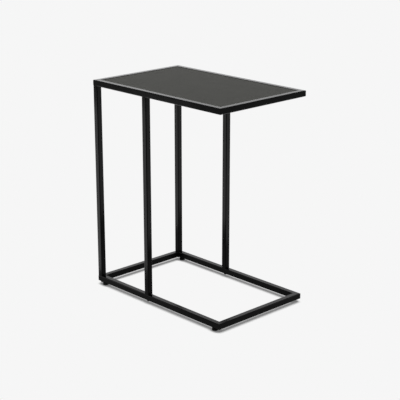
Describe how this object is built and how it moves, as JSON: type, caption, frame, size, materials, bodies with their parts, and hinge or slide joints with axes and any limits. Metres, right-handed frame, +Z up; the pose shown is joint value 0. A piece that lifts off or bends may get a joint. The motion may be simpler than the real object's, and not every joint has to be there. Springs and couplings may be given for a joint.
{
  "type": "c shaped side table",
  "caption": "C-shaped side table: dark panel in a black square-tube frame, legs crowded to one end over an open base that slides under a seat, on levelling feet.",
  "frame": {"origin": "on the floor, under the middle of the table's outline", "axes": "+X from the closed end, where the legs stand, to the open end; +Y from front to back; +Z up"},
  "size_m": [0.55, 0.35, 0.66],
  "materials": {
    "powder_coat": "satin black powder coat",
    "panel_laminate": "matt charcoal laminate on board",
    "foot_plastic": "moulded black plastic",
    "black_steel": "black oxide",
    "zinc_steel": "bright zinc plate"
  },
  "bodies": {
    "frame": {"top_rail_front": "powder_coat", "base_rail_front": "powder_coat", "top_rail_back": "powder_coat", "base_rail_back": "powder_coat", "top_rail_closed_end": "powder_coat", "base_rail_closed_end": "powder_coat", "top_rail_open_end": "powder_coat", "base_rail_open_end": "powder_coat", "leg_front_corner": "powder_coat", "leg_back_corner": "powder_coat", "leg_front_inner": "powder_coat", "leg_back_inner": "powder_coat", "top_panel": "panel_laminate", "panel_tabs": "powder_coat", "panel_screws": "zinc_steel", "leg_plugs": "zinc_steel", "base_bolts": "black_steel", "base_washers": "black_steel", "foot_rivet_nuts": "zinc_steel"},
    "foot_front_closed_end": {"foot_pad_front_closed_end": "foot_plastic", "foot_stud_front_closed_end": "zinc_steel"},
    "foot_back_closed_end": {"foot_pad_back_closed_end": "foot_plastic", "foot_stud_back_closed_end": "zinc_steel"},
    "foot_front_open_end": {"foot_pad_front_open_end": "foot_plastic", "foot_stud_front_open_end": "zinc_steel"},
    "foot_back_open_end": {"foot_pad_back_open_end": "foot_plastic", "foot_stud_back_open_end": "zinc_steel"}
  },
  "joints": [
    {"name": "foot_front_closed_end_thread", "type": "slide", "parent": "frame", "child": "foot_front_closed_end", "axis": [0, 0, -1], "range_m": [0, 0.006]},
    {"name": "foot_back_closed_end_thread", "type": "slide", "parent": "frame", "child": "foot_back_closed_end", "axis": [0, 0, -1], "range_m": [0, 0.006]},
    {"name": "foot_front_open_end_thread", "type": "slide", "parent": "frame", "child": "foot_front_open_end", "axis": [0, 0, -1], "range_m": [0, 0.006]},
    {"name": "foot_back_open_end_thread", "type": "slide", "parent": "frame", "child": "foot_back_open_end", "axis": [0, 0, -1], "range_m": [0, 0.006]}
  ]
}
